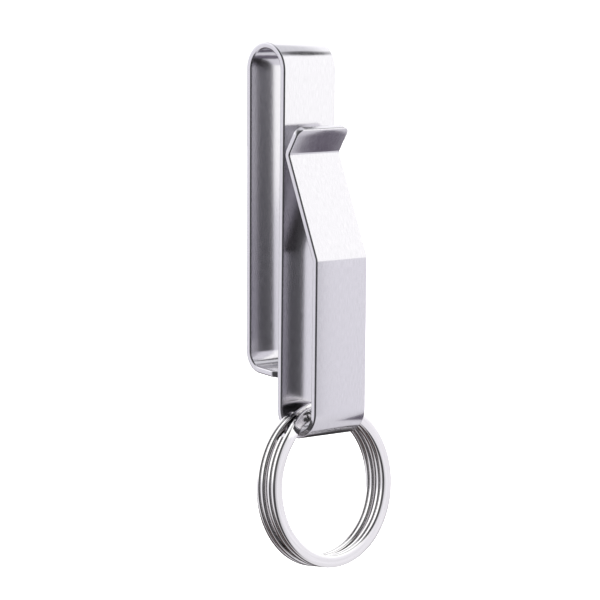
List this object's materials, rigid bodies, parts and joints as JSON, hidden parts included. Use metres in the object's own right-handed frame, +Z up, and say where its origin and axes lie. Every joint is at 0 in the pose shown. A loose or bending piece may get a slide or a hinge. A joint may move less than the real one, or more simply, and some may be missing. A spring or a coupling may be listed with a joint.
{
  "type": "belt clip key holder with split rings",
  "caption": "Bent spring-steel belt clip with a spring gate tongue and split rings hanging in its lower loop.",
  "frame": {"origin": "middle of the belt slot on the axis of the top bend, half way across the strip", "axes": "+Z up along the spine, +X across the strip, -Y towards the gate and +Y towards the belt leg"},
  "size_m": [0.0306, 0.0193, 0.0979],
  "materials": {
    "strip_steel": "fine vertical brushed grain, satin",
    "ring_steel": "polished plated steel"
  },
  "bodies": {
    "spine": {"spine": "strip_steel"},
    "belt_leg": {"belt_leg": "strip_steel"},
    "gate_tongue": {"gate_tongue": "strip_steel"},
    "front_split_ring": {"front_split_ring": "ring_steel"},
    "rear_split_ring": {"rear_split_ring": "ring_steel"}
  },
  "joints": [
    {"name": "leg_flex", "type": "hinge", "parent": "spine", "child": "belt_leg", "pos_m": [0, 0.00453, 0], "axis": [1, 0, 0], "range_deg": [0, 5], "stiffness_Nm_per_rad": 14},
    {"name": "gate_flex", "type": "hinge", "parent": "spine", "child": "gate_tongue", "pos_m": [0, -0.01361, -0.0629], "axis": [1, 0, 0], "range_deg": [0, 4.5], "stiffness_Nm_per_rad": 14},
    {"name": "front_ring_swing", "type": "hinge", "parent": "spine", "child": "front_split_ring", "pos_m": [0, -0.00907, -0.0629], "axis": [1, 0, 0], "range_deg": [-115, 80]},
    {"name": "rear_ring_fan", "type": "hinge", "parent": "front_split_ring", "child": "rear_split_ring", "pos_m": [0, -0.00907, -0.0629], "axis": [1, 0, 0], "range_deg": [0, 40]}
  ]
}
